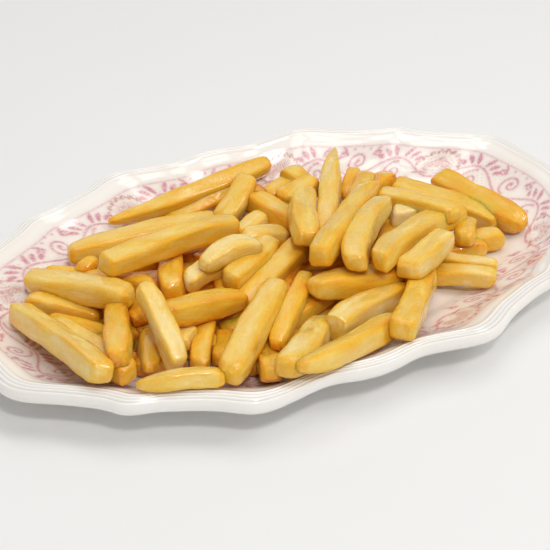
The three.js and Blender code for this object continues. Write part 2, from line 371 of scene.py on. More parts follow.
def add_node(nodes, kind, **values):
    """A shader node with its settings, and with its input values by name."""
    node = nodes.new(kind)
    for key, value in values.get("settings", {}).items():
        setattr(node, key, value)
    for key, value in values.get("inputs", {}).items():
        node.inputs[key].default_value = value
    return node


def blotch_group():
    """Soft uneven blotches on any coordinate: the glaze's ink, a fry's crust and its oil all use it."""
    group = bpy.data.node_groups.new("uneven_blotches", "ShaderNodeTree")
    group.interface.new_socket("Place", in_out="INPUT", socket_type="NodeSocketVector")
    size = group.interface.new_socket("Fineness", in_out="INPUT", socket_type="NodeSocketFloat")
    low = group.interface.new_socket("Low", in_out="INPUT", socket_type="NodeSocketFloat")
    high = group.interface.new_socket("High", in_out="INPUT", socket_type="NodeSocketFloat")
    size.default_value = 1.0
    low.default_value = 0.35
    high.default_value = 0.65
    group.interface.new_socket("Amount", in_out="OUTPUT", socket_type="NodeSocketFloat")
    nodes, links = group.nodes, group.links
    given = nodes.new("NodeGroupInput")
    result = nodes.new("NodeGroupOutput")
    cloud = add_node(nodes, "ShaderNodeTexNoise", inputs={"Detail": 3.0, "Roughness": 0.55})
    spread = add_node(nodes, "ShaderNodeMapRange", settings={"interpolation_type": "SMOOTHSTEP"})
    links.new(given.outputs["Place"], cloud.inputs["Vector"])
    links.new(given.outputs["Fineness"], cloud.inputs["Scale"])
    links.new(cloud.outputs["Fac"], spread.inputs["Value"])
    links.new(given.outputs["Low"], spread.inputs["From Min"])
    links.new(given.outputs["High"], spread.inputs["From Max"])
    links.new(spread.outputs["Result"], result.inputs["Amount"])
    return group


UNEVEN = blotch_group()


def blotches(nodes, links, place, fineness, low, high):
    node = nodes.new("ShaderNodeGroup")
    node.node_tree = UNEVEN
    node.inputs["Fineness"].default_value = fineness
    node.inputs["Low"].default_value = low
    node.inputs["High"].default_value = high
    links.new(place, node.inputs["Place"])
    return node.outputs["Amount"]


def figure(nodes, links, operation, first, second=0.0, third=0.0):
    """One step of arithmetic on numbers or on the outputs of other nodes."""
    node = add_node(nodes, "ShaderNodeMath", settings={"operation": operation})
    for socket, value in zip(node.inputs, (first, second, third)):
        if isinstance(value, (int, float)):
            socket.default_value = value
        else:
            links.new(value, socket)
    return node.outputs[0]


UNDER_SOCKET, OVER_SOCKET, MIXED_SOCKET = 6, 7, 2   # the colour sockets of a mix, which share their names


def tint(nodes, links, amount, under, over):
    """Lays one colour over another by an amount."""
    node = add_node(nodes, "ShaderNodeMix", settings={"data_type": "RGBA"})
    links.new(amount, node.inputs["Factor"])
    for socket, value in ((node.inputs[UNDER_SOCKET], under), (node.inputs[OVER_SOCKET], over)):
        if isinstance(value, tuple):
            socket.default_value = (*value, 1.0)
        else:
            links.new(value, socket)
    return node.outputs[MIXED_SOCKET]


def kept_on_mesh(nodes, label, output="Fac"):
    """A number or a place that the mesh keeps on its vertices."""
    return add_node(nodes, "ShaderNodeAttribute", settings={"attribute_name": label}).outputs[output]


def stretched(nodes, links, place, scale):
    mapping = add_node(nodes, "ShaderNodeMapping", inputs={"Scale": scale})
    links.new(place, mapping.inputs["Vector"])
    return mapping.outputs["Vector"]


def uneven_skin(nodes, links, place, cloud, strength, depth):
    """The tilt that soft lumps give a surface, from the lumps' own values and a depth in millimetres."""
    lumps = add_node(nodes, "ShaderNodeTexNoise", inputs=cloud)
    links.new(place, lumps.inputs["Vector"])
    tilt = add_node(nodes, "ShaderNodeBump", inputs={"Strength": strength, "Distance": depth * MM})
    links.new(lumps.outputs["Fac"], tilt.inputs["Height"])
    return tilt.outputs["Normal"]


CREAM = (0.945, 0.926, 0.895)
WARM_CREAM = (0.94, 0.9, 0.845)
PINK_INK = (0.66, 0.25, 0.33)
RUSSET_INK = (0.58, 0.235, 0.205)
BARE_CLAY = (0.74, 0.66, 0.55)
# the grooves' grey: partly glaze that pools there, partly painted shade
POOLED_AND_SHADED_GLAZE = (0.62, 0.605, 0.585)
NET_PITCH = 1.9                     # between the net's dots, in millimetres
NET_DOT = (0.3, 0.18)               # a dot's outer and inner radius, as shares of the pitch
BARE_SOLE = (0.5, 0.15)             # heights over the table between which the glaze ends


def glazed_earthenware():
    material, nodes, links = new_material("glazed_earthenware")
    shader = nodes["Principled BSDF"]
    shader.inputs["IOR"].default_value = 1.52
    shader.inputs["Coat Weight"].default_value = 0.35
    shader.inputs["Coat Roughness"].default_value = 0.05
    ours = nodes.new("ShaderNodeTexCoord").outputs["Object"]
    # dots of the net: the distance to the middle of a small square cell, turned by half a right angle
    turned = add_node(nodes, "ShaderNodeMapping", inputs={
        "Rotation": (0, 0, math.pi / 4), "Scale": (1 / NET_PITCH, 1 / NET_PITCH, 0)})
    links.new(kept_on_mesh(nodes, "rim_place", "Vector"), turned.inputs["Vector"])
    cell = add_node(nodes, "ShaderNodeVectorMath", settings={"operation": "FRACTION"})
    links.new(turned.outputs["Vector"], cell.inputs[0])
    off = add_node(nodes, "ShaderNodeVectorMath", settings={"operation": "DISTANCE"})
    off.inputs[1].default_value = (0.5, 0.5, 0)
    links.new(cell.outputs["Vector"], off.inputs[0])
    dot = add_node(nodes, "ShaderNodeMapRange", inputs={
        "From Min": NET_DOT[0], "From Max": NET_DOT[1], "To Min": 0.0, "To Max": 0.5})
    links.new(off.outputs["Value"], dot.inputs["Value"])
    dots = figure(nodes, links, "MULTIPLY", dot.outputs["Result"], kept_on_mesh(nodes, "net"))
    # the ink is a little worn and patchy
    worn = blotches(nodes, links, ours, 900, 0.25, 0.6)
    keep = figure(nodes, links, "MULTIPLY_ADD", worn, 0.45, 0.5)
    printed = figure(nodes, links, "MAXIMUM", kept_on_mesh(nodes, "ink"), dots)
    printed = figure(nodes, links, "MULTIPLY", printed, keep)
    inks = tint(nodes, links, kept_on_mesh(nodes, "russet"), PINK_INK, RUSSET_INK)
    warm = blotches(nodes, links, ours, 14, 0.3, 0.75)
    body = tint(nodes, links, warm, CREAM, WARM_CREAM)
    # painted shade in the grooves, with the glaze that pools there: the grooves turn greyer
    pooled_and_shaded = figure(nodes, links, "MULTIPLY", kept_on_mesh(nodes, "pooled_and_shaded"), 0.75)
    body = tint(nodes, links, pooled_and_shaded, body, POOLED_AND_SHADED_GLAZE)
    colour = tint(nodes, links, printed, body, inks)
    # the foot's sole is wiped clean of glaze before firing
    split = nodes.new("ShaderNodeSeparateXYZ")
    links.new(ours, split.inputs[0])
    bare = add_node(nodes, "ShaderNodeMapRange", inputs={
        "From Min": BARE_SOLE[0] * MM, "From Max": BARE_SOLE[1] * MM})
    links.new(split.outputs["Z"], bare.inputs["Value"])
    colour = tint(nodes, links, bare.outputs["Result"], colour, BARE_CLAY)
    links.new(colour, shader.inputs["Base Color"])
    haze = blotches(nodes, links, ours, 60, 0.3, 0.7)
    gloss = figure(nodes, links, "MULTIPLY_ADD", haze, 0.07, 0.08)
    rough = figure(nodes, links, "MULTIPLY_ADD", bare.outputs["Result"], 0.6, gloss)
    links.new(rough, shader.inputs["Roughness"])
    ripple = uneven_skin(nodes, links, ours, {"Scale": 45.0, "Detail": 1.0}, 0.25, 0.4)
    links.new(ripple, shader.inputs["Normal"])
    return material


section = platter_section()
points, faces = revolve_rings(section)
printing, rim_place = paint_border(section)
printing["pooled_and_shaded"] = pooled_and_shaded_grooves(section)
platter = make_piece(
    "platter_body", points, faces, glazed_earthenware(), printing, {"rim_place": rim_place})
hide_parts("platter")


# ---- The fries ----
# Thick-cut potato, fried: squared bars with soft, crisper edges, ends cut across or tapering off, no two
# alike. They lie loose on one another, golden on top, browner at the ends and along the edges. Painted
# shade browns them further underneath, where they press together and deep in the heap.

# each row: x y z of one end and of the other, width, thickness, bow of the middle to the left, roll in
# degrees, share of the width left at each end, then how deep it is fried and how brown each end is
FAR_SIDE = (
    (-65, 60, 19, 25, 71, 22, 10, 9.5, -2.8, 20, 0.3, 0.75, 0.45, 0.8, 0.8),
    (-38, 57, 14, 9, 63, 17, 10.5, 10, 0, 30, 0.8, 0.8, 0.6, 0.2, 0.2),
    (29, 62, 20, 35, 46, 20, 11, 11, 0, 0, 0.85, 0.8, 0.42, 0.2, 0.2),
    (12, 46, 18, 29, 57, 18, 10, 9.5, 0, 0, 0.8, 0.8, 0.45, 0.2, 0.2),
    (16, 38, 21, 38, 47, 21, 12, 11, -1, 0, 0.85, 0.7, 0.42, 0.2, 0.9),
    (64, 53, 19, 50, 34, 15, 7.5, 7.5, 0, 0, 0.5, 0.8, 0.55, 0.4, 0.2),
    (66, 42, 21, 45, 19, 22, 10.5, 10, 0, 0, 0.7, 0.8, 0.5, 0.3, 0.2),
    (51, 29, 22, 79, 39, 16, 11.5, 10.5, 0, -8, 0.8, 0.8, 0.72, 0.2, 0.5),
    (59, 65, 25, 17, -7, 26, 10.6, 11, 0, 10, 0.15, 0.8, 0.3, 0.7, 0.3),
    (-91, 41, 20, -15, 43, 15, 12, 11.5, 1, 0, 0.7, 0.85, 0.42, 0.4, 0.2),
    (-16, 40, 15, 8, 59, 25, 12.5, 12, -1, 0, 0.8, 0.8, 0.38, 0.2, 0.3),
    (-85, 5, 36, -13, 25, 24, 12.3, 12, 1.8, -2, 0.85, 0.8, 0.42, 0.1, 0.9),
)
RIGHT_END = (
    (101, 31, 15, 116.5, -24, 17, 12.8, 12, -1, 20, 0.85, 0.6, 0.6, 0.4, 0.3),
    (77, 35, 15, 108, -14, 14, 12.5, 12, 1, 4, 0.8, 0.8, 0.42, 0.2, 0.2),
    (59, 19, 24, 79, -20, 31, 11.5, 11, 0, 0, 0.7, 0.7, 0.38, 0.2, 0.2),
    (64, 4, 16, 79, 17, 16, 13.5, 12, 0, 0, 0.9, 0.8, -0.3, 0, 0),
    (45, -15, 18, 61, 6, 16, 10, 9.5, 0, 0, 0.8, 0.8, 0.45, 0.2, 0.2),
    (79, -29, 21, 91, -11, 18, 10.5, 10, 0, -8, 0.7, 0.8, 0.45, 0.3, 0.2),
    (70, -18, 11, 92, -29, 13, 9.5, 9, 0, -8, 0.8, 0.8, 0.45, 0.2, 0.4),
    (79, -16, 12, 104, -25, 13, 10.5, 9.5, 0, -4, 0.8, 0.85, 0.4, 0.2, 0.3),
    (56, -14, 11, 86, -47, 17, 8.5, 8, 0, 0, 0.8, 0.7, 0.17, 0.2, 0.7),
    (52, -28, 11, 80, -55, 18, 9, 8.5, 0, 0, 0.8, 0.75, 0.18, 0.2, 0.7),
)
MIDDLE = (
    (5, 49, 19, 17, 8, 21, 12, 12, 0, -5, 0.8, 0.8, 0.52, 0.7, 0.2),
    (-14, 22, 19, 5, 34, 17, 9.5, 9.5, 0, 0, 0.8, 0.8, 0.2, 0, 0.2),
    (-16, 13, 23, 9, 14, 18, 11, 10.5, 1, 0, 0.6, 0.6, 0.15, 0.1, 0.2),
    (27, 34, 27, 4, -13, 34, 12.5, 11.5, -1, -15, 0.6, 0.7, 0.42, 0.3, 0.2),
    (-45, -10, 33, -14, -4, 31, 11.5, 10.5, 4, 0, 0.5, 0.6, 0.1, 0.2, 0.2),
    (-35, -17, 26, -2, 6, 23, 12.5, 11.5, 0, 8, 0.8, 0.5, 0.34, 0.4, 0.2),
    (-24, 16, 18, -38, -15, 18, 9.5, 9.5, 0, 0, 0.8, 0.8, 0.35, 0.2, 0.2),
    (-53, -9, 26, -28, -1, 25, 10, 9.5, 0, 0, 0.8, 0.8, 0.1, 0.1, 0.2),
    (10, 2, 22, -33, -26, 18, 12, 11.5, 0, -7, 0.7, 0.8, 0.42, 0.3, 0.2),
    (-47, 27, 17, -59, -11, 23, 11.5, 11.5, 0, 5, 0.8, 0.8, 0.5, 0.2, 0.3),
    (24, -45, 37, 87, -10, 23, 11.5, 11, 5, -10, 0.8, 0.9, 0.38, 0.2, 0.3),
    (36, -47, 29, 69, -30, 28, 12.5, 11.5, 0, -8, 0.85, 0.8, 0.26, 0.1, 0.2),
    (1, -33, 38, 59, 25, 25, 13, 12.5, 1, -12, 0.85, 0.7, 0.48, 0.2, 0.4),
    (54, 4, 31, 14, -42, 37, 12.5, 11.5, -4, 7, 0.7, 0.8, 0.3, 0.2, 0.3),
    (5, 55, 22, 11, 45, 21, 7, 7, 0, 0, 0.7, 0.7, 0.85, 0.5, 0.5),
)
LEFT_END = (
    (-106, 31, 18, -65, 14, 11, 9.5, 9.5, 0, 9, 0.8, 0.8, 0.5, 0.2, 0.2),
    (-93, 23, 17, -66, -6, 25, 9.5, 9.5, 3, -10, 0.6, 0.7, 0.45, 0.2, 0.2),
    (-113, 31, 19, -78, -12, 28, 13, 12.5, 0, 0, 0.85, 0.8, 0.27, 0.9, 0.2),
    (-118, 18, 19, -91, -2, 13, 10.5, 9.5, 1, -10, 0.6, 0.8, 0.36, 0.3, 0.2),
    (-66, 9, 13, -78, -19, 20, 9.5, 9.5, 0, 10, 0.8, 0.8, 0.5, 0.2, 0.2),
    (-112, 0, 16, -95, -56, 26, 11, 10.5, 0, -5, 0.8, 0.8, 0.4, 0.2, 0.3),
    (-123, 12, 19, -107, -59, 32, 11.8, 11.2, 0, -22, 0.85, 0.85, 0.3, 0.3, 0.3),
    (-83, -3, 21, -100, -54, 33, 11, 11, 1, 5, 0.5, 0.75, 0.56, 0.1, 0.4),
    (-77, -21, 41, -76, -58, 23, 9.5, 10.5, 2.5, -10, 0.75, 0.85, 0.16, 0, 0.2),
    (-76, -34, 32.6, -32, -26, 21.6, 12.2, 12, 1, -8, 0.8, 0.65, 0.58, 0.2, 0.2),
    (-91, 25, 21, -81, 32, 20, 7.5, 7, 0, 0, 0.8, 0.8, 0.6, 0.2, 0.2),
    (-70, -43, 21, -60, -34, 21, 8, 8, 0, 0, 0.7, 0.8, 0.05, 0, 0),
)
NEAR_SIDE = (
    (-71, -16, 11, -85, -48, 18, 12.8, 11, 0, -10, 0.35, 0.3, 0.2, 0.2, 0.5),
    (-96, -65, 26.6, -62, -76, 27.1, 9, 8, 0, -25, 0.35, 0.8, 0.3, 0.7, 0.2),
    (-47, -22, 15.7, -66, -55, 17.7, 9.7, 9.5, 0, 0, 0.7, 0.8, 0.45, 0.2, 0.3),
    (-45, -35, 12.5, -55, -55, 17.5, 8.8, 8.5, 0, 0, 0.8, 0.7, 0.5, 0.2, 0.3),
    (-46, -34, 14, -17, -31, 15, 9.5, 9.5, 0, 9, 0.8, 0.8, 0.5, 0.2, 0.2),
    (-36, -58, 13, -45, -82, 28, 10, 9.5, 1, 0, 0.8, 0.7, 0.5, 0.2, 0.2),
    (9, -31, 17, -38, -55, 14, 10, 9.5, -2, 0, 0.8, 0.6, 0.5, 0.3, 0.3),
    (0, -22, 23, -34, -61, 22, 9.5, 9.5, 1, 0, 0.7, 0.6, 0.48, 0.4, 0.4),
    (-16, -27, 25, -62, -78, 29, 13.5, 12.5, 0, 0, 0.85, 0.75, 0.36, 0.4, 0.3),
    (-37, -89, 31.5, 21, -68, 19.5, 12.5, 10.5, -2, -24, 0.5, 0.8, 0.36, 0.3, 0.2),
    (-41, -87, 31.5, -6, -51, 17, 13.5, 13, -2, -8, 0.75, 0.8, 0.26, 0.4, 0.2),
    (-8, -65, 25, 43, -40, 14, 12.5, 14, 1, -5, 0.9, 0.5, 0.22, 0, 0.2),
    (-6, -37, 27, 41, -37, 20, 12.5, 12, -1, -7, 0.6, 0.85, 0.42, 0.3, 0.3),
    (56, -34, 13, 14, -84, 29.5, 12.5, 12, 0, 0, 0.8, 0.85, 0.4, 0.2, 0.3),
)
# fries that lie under the others at the left end, on the near side and under the long pair at the far left,
# where they show only through the chinks, and one broken stub whose pale inside shows
UNDERNEATH = (
    (-113, 4, 15, -84, -24, 12, 10, 9.5, 0, 0, 0.8, 0.8, 0.5, 0.2, 0.2),
    (-99, -12, 14, -89, -38, 12, 10, 9.5, 0, 0, 0.8, 0.8, 0.5, 0.2, 0.2),
    (-88, -10, 12, -56, -37, 12, 10, 9.5, 0, 0, 0.8, 0.8, 0.55, 0.2, 0.2),
    (-88, -38, 11, -68, -47, 12, 8, 8, 0, 0, 0.8, 0.8, 0.5, 0.2, 0.2),
    (-104, 16, 14, -66, -2, 12, 10, 9.5, 0, 0, 0.8, 0.8, 0.55, 0.2, 0.2),
    (-66, -34, 12, -30, -48, 12, 10, 9.5, 0, 0, 0.8, 0.8, 0.55, 0.2, 0.2),
    (-48, -62, 16, -16, -50, 14, 10, 9.5, 0, 0, 0.8, 0.8, 0.5, 0.2, 0.2),
    (-82, 22, 13, -44, 8, 12, 10, 9.5, 0, 0, 0.8, 0.8, 0.6, 0.2, 0.2),
    (-78, 29, 14, -27, 29, 12, 10, 9.5, 0, 0, 0.8, 0.8, 0.6, 0.2, 0.2),
    (60.5, -6, 25, 65, 4, 23, 13, 9.5, 0, 0, 0.92, 0.8, -0.3, 0, 0),
)
HEAP_MIDDLE = (-8, -3)
# the buried ones: the oval they lie in, their height, size and length, the turn from one to the next, in
# radians, and how far they point away from the long axis, as a share of half a turn
BURIED = {
    "count": 14, "half_length": 62, "half_width": 29, "z": 13, "size": 10, "long": (40, 54),
    "turn": 2.4, "slant": 0.35, "tip": 0.8, "tone": 0.75, "end_brown": 0.2, "seed": 11,
}
FIRST_SEED = 100

SECTION_POINTS = 34
BODY_STATIONS = 20
END_STEPS = (0.02, 0.09, 0.2, 0.36, 0.58, 0.82)     # how far through its rounding each end ring lies
END_SHARES = (0.42, 0.58)           # of the section: what is left at the very end, and what rounding adds
END_ROUNDING = (2.2, 4.8)           # how far in from an end the rounding reaches, least and most
SQUARE_SHARE = 0.9                  # an end that keeps at least this share of the width is cut off square,
SQUARE_ROUNDING = 0.9               # and its rounding reaches in only this far
POINTED_SHARE = 0.45                # an end with less than this left tapers over a long stretch
SQUARENESS = (2.7, 3.9)             # of the cross-section, where 2 is an ellipse
SKEW = 0.09
SIZE_WAVER = 0.05
SIDE_WAVER = 0.5
RISE_WAVER = 0.45
TWIST = 6                           # degrees
END_LEAN = 0.3
LUMPS = {"swell": 0.13, "along": 0.075, "across": 0.17}
PITS = {"swell": 0.035, "along": 0.35, "across": 0.5}
CLEAR_OF_GLAZE = 0.35

# what browns a fry beyond its own tone: its edges and ends and its lumps, and painted shade on its
# underside, where the other fries press on it and deep in the heap
CRUST_AND_SHADE = {"edges": 0.24, "ends": 0.5, "lumps": 0.16, "under": 0.22, "contact_shade": 0.16, "depth_shade": 0.22}
TONE_SHIFT = 0.04
BROWN_END = 1.9                     # how far a browned end reaches in
CONTACT_SHADE_CELL = 1.8
CONTACT_SHADE_POINTS = 18                 # this many points of other fries close by give the full painted contact shade
DEPTH_SHADE_CELL = 4.0
DEPTH_SHADE_DEPTHS = (7, 13)               # below the heap's top: where the painted shade starts, and how deep it goes on

FACE_LINE = rounded(FACE, ROUNDING_PASSES)


def face_height(x, y):
    """Height of the platter's upper face under each point."""
    angle = np.arctan2(y, x)
    radius = np.hypot(x, y)
    well = oval_radius(WELL_HALF, angle)
    lip = lip_radius(angle)
    on_rim = RIM_RUN * (lip - radius) / (lip - well)
    in_well = RIM_RUN + WELL_RUN * (1 - radius / well)
    inset = np.where(radius > well, on_rim, in_well)
    return np.interp(inset, FACE_LINE[::-1, 0], FACE_LINE[::-1, 1])


def waver(draw, run, size):
    """A slow wave along a fry, different on each."""
    return size * np.sin(draw.uniform(1.5, 3.5) * run + draw.uniform(0, 6.3))


def knobbles(form, apart, x, y, z):
    """Soft lumps or pits for each point of a fry, finer across it than along it."""
    along, across = form["along"], form["across"]
    return np.array([
        [noise.noise(Vector((apart + a * along, b * across, c * across))) for a, b, c in zip(*ring)]
        for ring in zip(x, y, z)])


def fry(row, draw):
    """One fry's vertices, its faces, how brown each vertex is with painted shade on its underside, and its
    place in the fry's own grain.
    """
    start, end = np.array(row[0:3], float), np.array(row[3:6], float)
    wide, thick, bow, roll, start_tip, end_tip, tone, start_brown, end_brown = row[6:]
    length = np.linalg.norm(end - start)
    along = (end - start) / length
    across = np.array([-along[1], along[0], 0.0])
    across /= np.linalg.norm(across)
    up = np.cross(along, across)

    rounding = []
    for tip in (start_tip, end_tip):
        rounding.append(SQUARE_ROUNDING if tip >= SQUARE_SHARE else draw.uniform(*END_ROUNDING))
    shares = [END_SHARES[0] + END_SHARES[1] * math.sqrt(1 - (1 - step) ** 2) for step in END_STEPS]
    first = [(-length / 2 + step * rounding[0], share) for step, share in zip(END_STEPS, shares)]
    last = [(length / 2 - step * rounding[1], share) for step, share in zip(END_STEPS, shares)][::-1]
    inner = np.linspace(first[-1][0] + 1.2, last[0][0] - 1.2, BODY_STATIONS)
    places = np.array([at for at, _ in first] + list(inner) + [at for at, _ in last])
    closing = np.array([share for _, share in first] + [1.0] * BODY_STATIONS + [share for _, share in last])

    run = 2 * places / length
    tip = np.where(run < 0, start_tip, end_tip)
    power = np.where(tip < POINTED_SHARE, 2.2, 4.0)
    share = (1 - (1 - tip) * np.abs(run) ** power) * closing
    half_wide = wide / 2 * share * (1 + waver(draw, run, SIZE_WAVER))
    half_thick = thick / 2 * share * (1 + waver(draw, run, SIZE_WAVER))
    side = bow * (1 - run ** 2) + waver(draw, run, SIDE_WAVER)
    rise = waver(draw, run, RISE_WAVER)
    twist = np.radians(roll + draw.uniform(-TWIST, TWIST) * run)
    squareness = draw.uniform(*SQUARENESS)
    skew = draw.uniform(-SKEW, SKEW)

    turn = 2 * math.pi * (np.arange(SECTION_POINTS) + 0.5) / SECTION_POINTS
    corner = np.abs(np.sin(2 * turn)) ** 4
    pillow = 1 + 0.06 * (corner - 0.5)
    cos, sin = np.cos(turn), np.sin(turn)
    out = np.sign(cos) * np.abs(cos) ** (2 / squareness) * pillow
    top = np.sign(sin) * np.abs(sin) ** (2 / squareness) * pillow
    y = half_wide[:, None] * (out + skew * top)
    z = half_thick[:, None] * top
    x = np.broadcast_to(places[:, None], y.shape).copy()
    apart = draw.uniform(0, 500)
    lumps = knobbles(LUMPS, apart, x, y, z)
    pits = knobbles(PITS, apart, x, y, z)
    swell = 1 + LUMPS["swell"] * lumps + PITS["swell"] * pits
    y, z = y * swell, z * swell

    tips = np.array([[-length / 2, 0, 0], [length / 2, 0, 0]])
    lean = np.where(run < 0, draw.uniform(-END_LEAN, END_LEAN), draw.uniform(-END_LEAN, END_LEAN))
    x += lean[:, None] * y * np.abs(run[:, None]) ** 3
    body = np.stack([x, y, z], 2).reshape(-1, 3)
    grain = np.vstack([tips[:1], body, tips[1:]])
    stations = np.concatenate([[0], np.repeat(np.arange(len(places)), SECTION_POINTS), [len(places) - 1]])
    bend_y, bend_z, angle = side[stations], rise[stations], twist[stations]
    turned_y = grain[:, 1] * np.cos(angle) - grain[:, 2] * np.sin(angle) + bend_y
    turned_z = grain[:, 1] * np.sin(angle) + grain[:, 2] * np.cos(angle) + bend_z
    middle = (start + end) / 2
    points = middle + grain[:, :1] * along + turned_y[:, None] * across + turned_z[:, None] * up
    lift = np.max(face_height(points[:, 0], points[:, 1]) + CLEAR_OF_GLAZE - points[:, 2])
    points[:, 2] += max(0.0, lift)

    from_start = grain[:, 0] + length / 2
    from_end = length / 2 - grain[:, 0]
    ends = start_brown * np.exp(-from_start / BROWN_END) + end_brown * np.exp(-from_end / BROWN_END)
    cap = np.clip((0.97 - closing) / 0.25, 0, 1)
    along_edges = corner[None, :] * (1 - cap[:, None]) + 0.8 * (cap * (1 - cap) * 4)[:, None]
    edges = np.concatenate([[0], along_edges.ravel(), [0]])
    raised = np.concatenate([[0], lumps.ravel(), [0]])
    # painted shade: the lower half of each fry turns browner and more amber
    under = np.clip((bend_z - turned_z) / (thick / 2), 0, 1)
    brown_and_shade = tone - TONE_SHIFT + CRUST_AND_SHADE["edges"] * edges + CRUST_AND_SHADE["ends"] * ends
    brown_and_shade = brown_and_shade + CRUST_AND_SHADE["lumps"] * raised + CRUST_AND_SHADE["under"] * under
    shift = np.array([draw.uniform(0, 900), draw.uniform(0, 900), draw.uniform(0, 900)])

    around = np.arange(SECTION_POINTS)
    following = np.roll(around, -1)
    faces = []
    for station in range(len(places) - 1):
        base = 1 + station * SECTION_POINTS
        low, high = base + around, base + following
        faces += np.stack([low, high, high + SECTION_POINTS, low + SECTION_POINTS], 1).tolist()
    final = 1 + (len(places) - 1) * SECTION_POINTS
    faces += [(0, 1 + b, 1 + a) for a, b in zip(around, following)]
    faces += [(len(points) - 1, final + a, final + b) for a, b in zip(around, following)]
    return points, faces, brown_and_shade, grain + shift


def buried_rows():
    """Fries deep in the heap: they lie flat in a loose oval, at odd angles."""
    draw = np.random.default_rng(BURIED["seed"])
    rows = []
    for i in range(BURIED["count"]):
        turn = i * BURIED["turn"]
        spread = math.sqrt((i + 0.5) / BURIED["count"])
        x = HEAP_MIDDLE[0] + BURIED["half_length"] * spread * math.cos(turn)
        y = HEAP_MIDDLE[1] + BURIED["half_width"] * spread * math.sin(turn)
        half = draw.uniform(*BURIED["long"]) / 2
        heading = draw.uniform(-BURIED["slant"], BURIED["slant"]) * math.pi
        dx, dy = half * math.cos(heading), half * math.sin(heading)
        z, size = BURIED["z"], BURIED["size"]
        tip, end_brown = BURIED["tip"], BURIED["end_brown"]
        place = (x - dx, y - dy, z, x + dx, y + dy, z + 1)
        rows.append(place + (size, size, 0, 0, tip, tip, BURIED["tone"], end_brown, end_brown))
    return rows


PALE = (0.91, 0.73, 0.34)
STRAW = (0.87, 0.61, 0.14)
GOLD = (0.85, 0.5, 0.034)
AMBER = (0.85, 0.4, 0.018)
BROWN = (0.64, 0.22, 0.012)
# the colours in the order of frying, with how far along each comes, and how a fry's own depth is read there
FRYING = ((0.04, PALE), (0.30, STRAW), (0.55, GOLD), (0.78, AMBER), (1.0, BROWN))
FRYING_START = 0.19
FRYING_SCALE = 0.86


def fried_potato():
    material, nodes, links = new_material("fried_potato")
    shader = nodes["Principled BSDF"]
    shader.inputs["IOR"].default_value = 1.45
    shader.inputs["Subsurface Weight"].default_value = 0.65
    shader.inputs["Subsurface Radius"].default_value = (1.0, 0.68, 0.24)
    shader.inputs["Subsurface Scale"].default_value = 2.6 * MM
    # the browning read here also holds painted shade: under each fry, between fries and deep in the heap
    brown_and_shade = kept_on_mesh(nodes, "brown_and_shade")
    grain = kept_on_mesh(nodes, "grain", "Vector")
    drawn = stretched(nodes, links, grain, (0.3, 1.0, 1.0))
    fibres = stretched(nodes, links, grain, (0.12, 1.3, 1.3))
    depth = figure(nodes, links, "SUBTRACT", brown_and_shade, FRYING_START)
    for place, fineness, low, high, amount in (
            (drawn, 0.22, 0.3, 0.72, 0.3),      # broad patches, drawn out along the fry
            (fibres, 1.0, 0.3, 0.7, 0.05),      # fibres
            (grain, 0.75, 0.3, 0.7, 0.1),       # mottling
            (grain, 1.3, 0.66, 0.78, 0.04)):    # freckles
        uneven = blotches(nodes, links, place, fineness, low, high)
        depth = figure(nodes, links, "MULTIPLY_ADD", uneven, amount, depth)
    depth = figure(nodes, links, "MULTIPLY", depth, FRYING_SCALE)
    ramp = nodes.new("ShaderNodeValToRGB")
    ramp.color_ramp.interpolation = "EASE"
    ramp.color_ramp.elements.remove(ramp.color_ramp.elements[-1])
    ramp.color_ramp.elements[0].position = FRYING[0][0]
    ramp.color_ramp.elements[0].color = (*FRYING[0][1], 1)
    for at, colour in FRYING[1:]:
        ramp.color_ramp.elements.new(at).color = (*colour, 1)
    links.new(depth, ramp.inputs["Fac"])
    links.new(ramp.outputs["Color"], shader.inputs["Base Color"])
    oil = blotches(nodes, links, drawn, 0.2, 0.36, 0.56)
    links.new(figure(nodes, links, "MULTIPLY_ADD", oil, -0.15, 0.5), shader.inputs["Roughness"])
    shader.inputs["Specular IOR Level"].default_value = 0.35
    # a film of oil lies in patches over the crust, drawn into small ripples
    links.new(oil, shader.inputs["Coat Weight"])
    shader.inputs["Coat Roughness"].default_value = 0.1
    shader.inputs["Coat IOR"].default_value = 1.55
    shader.inputs["Coat Tint"].default_value = (1.0, 0.95, 0.78, 1.0)
    film = uneven_skin(nodes, links, grain, {"Scale": 0.42, "Detail": 2.0}, 0.8, 0.4)
    links.new(film, shader.inputs["Coat Normal"])
    halfway = stretched(nodes, links, grain, (0.55, 1.0, 1.0))
    crust = uneven_skin(nodes, links, halfway, {"Scale": 0.9, "Detail": 5.0, "Roughness": 0.62}, 0.6, 0.6)
    links.new(crust, shader.inputs["Normal"])
    return material


def contact_shade(heap):
    """For each vertex, how closely the other fries press round it: painted shade browns it there."""
    low = np.min([points.min(0) for points in heap], 0) - 3 * CONTACT_SHADE_CELL
    spots = [np.floor((points - low) / CONTACT_SHADE_CELL).astype(int) for points in heap]
    size = np.max([spot.max(0) for spot in spots], 0) + 4

    def crowd(spot):
        grid = np.zeros(size)
        np.add.at(grid, tuple(spot.T), 1.0)
        for axis in range(3):
            grid = grid + np.roll(grid, 1, axis) + np.roll(grid, -1, axis)
        return grid

    everyone = crowd(np.vstack(spots))
    others = [(everyone - crowd(spot))[tuple(spot.T)] for spot in spots]
    return np.clip(np.concatenate(others) / CONTACT_SHADE_POINTS, 0, 1)


